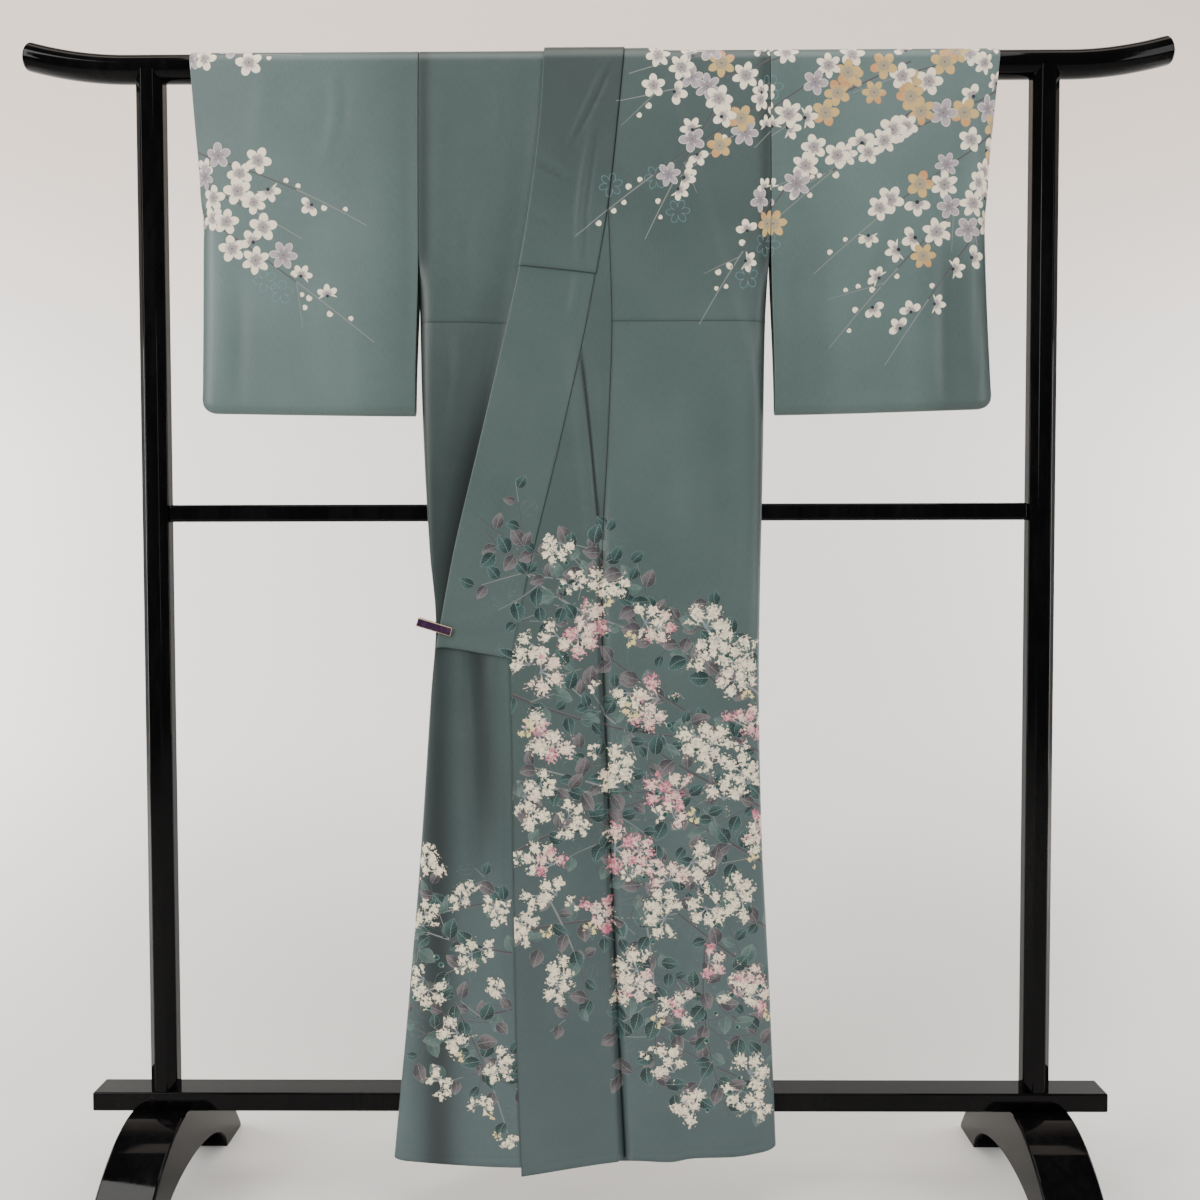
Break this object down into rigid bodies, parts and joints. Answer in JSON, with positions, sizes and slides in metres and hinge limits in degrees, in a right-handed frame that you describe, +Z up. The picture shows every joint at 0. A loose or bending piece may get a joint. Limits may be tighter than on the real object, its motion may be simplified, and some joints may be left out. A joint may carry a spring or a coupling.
{
  "type": "silk kimono hung on a lacquered kimono stand",
  "caption": "Long-sleeved silk kimono hung closed, left front over right, over the top rail of a two-legged black lacquer kimono stand with a low beam and arched feet.",
  "frame": {"origin": "on the floor, below the middle of the stand: the centre of the bounding box's base", "axes": "+Z up; +X to the wearer's left, which is a viewer's right; the kimono's front faces -Y"},
  "size_m": [1.59, 0.37, 1.6313],
  "materials": {
    "silk": "soft satin silk, grey-green, with flowers and leaves",
    "black_lacquer": "wood under polished black lacquer",
    "clip_enamel": "gloss enamel on sprung metal"
  },
  "bodies": {
    "root": {"body_left": "silk", "body_right": "silk", "okumi_left": "silk", "okumi_right": "silk", "collar_left": "silk", "collar_right": "silk", "over_collar_left": "silk", "over_collar_right": "silk", "sleeve_left": "silk", "sleeve_right": "silk", "rail_top": "black_lacquer", "post_left": "black_lacquer", "post_right": "black_lacquer", "rail_mid": "black_lacquer", "beam_base": "black_lacquer", "foot_left": "black_lacquer", "foot_right": "black_lacquer", "clip": "clip_enamel"}
  },
  "joints": []
}
